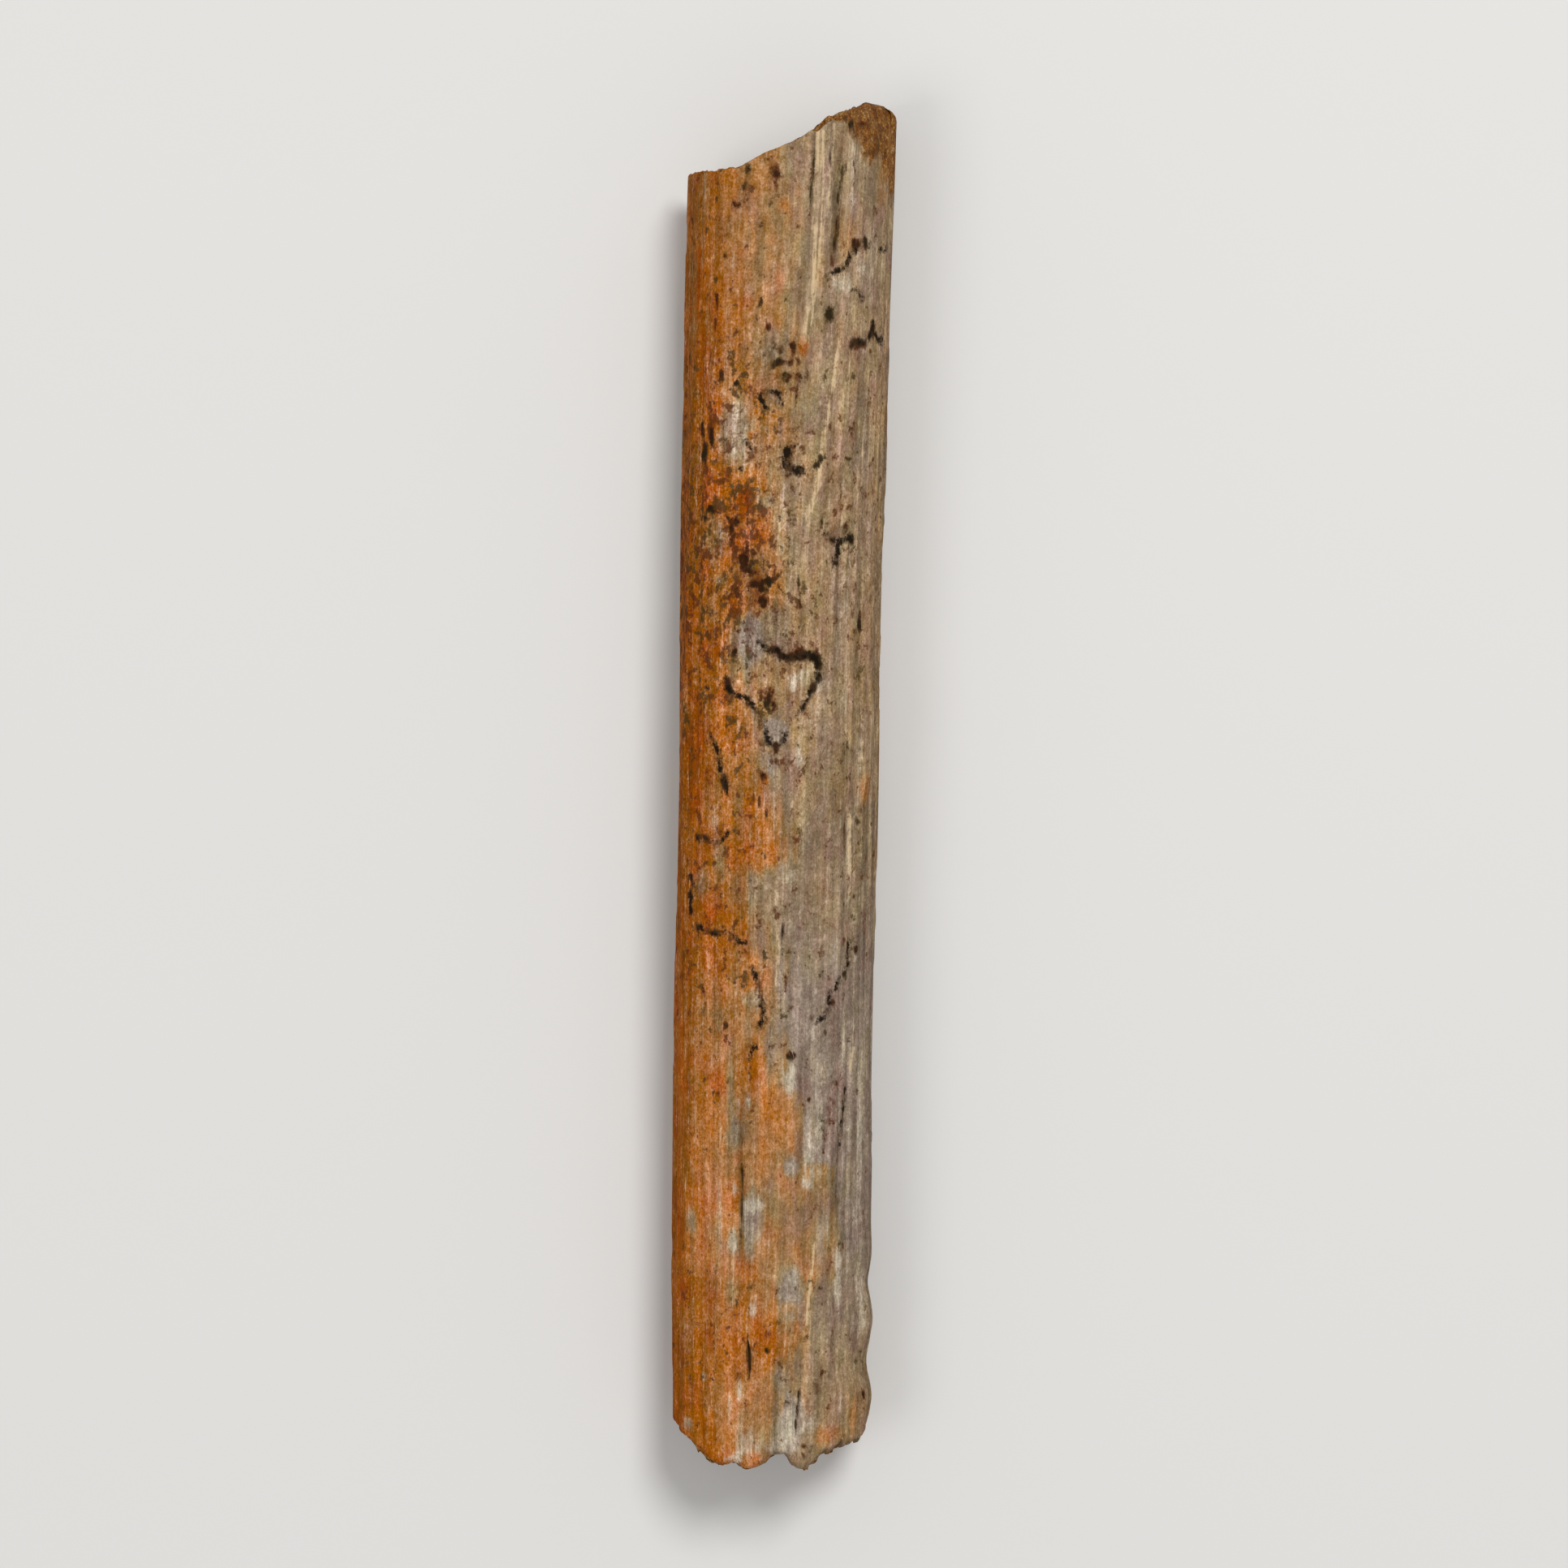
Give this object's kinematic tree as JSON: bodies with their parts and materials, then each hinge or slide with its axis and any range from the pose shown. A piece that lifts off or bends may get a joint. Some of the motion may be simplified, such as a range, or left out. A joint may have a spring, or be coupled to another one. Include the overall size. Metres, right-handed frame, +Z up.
{
  "type": "fossil dinosaur tendon",
  "caption": "Length of fossilised tendon: a flattened, fluted rod of mineralised fibre, broken obliquely at one end and frayed at the other, that lies flat as a display specimen.",
  "frame": {"origin": "middle of the bounding box's footprint, on the surface that the tendon lies on", "axes": "+Y runs along the tendon towards its obliquely broken end, +X across it, +Z up from the surface"},
  "size_m": [0.0124, 0.0752, 0.0082],
  "materials": {
    "fossil_bone": "matte, faintly satin on the worn fibres"
  },
  "bodies": {
    "root": {"tendon": "fossil_bone"}
  },
  "joints": []
}
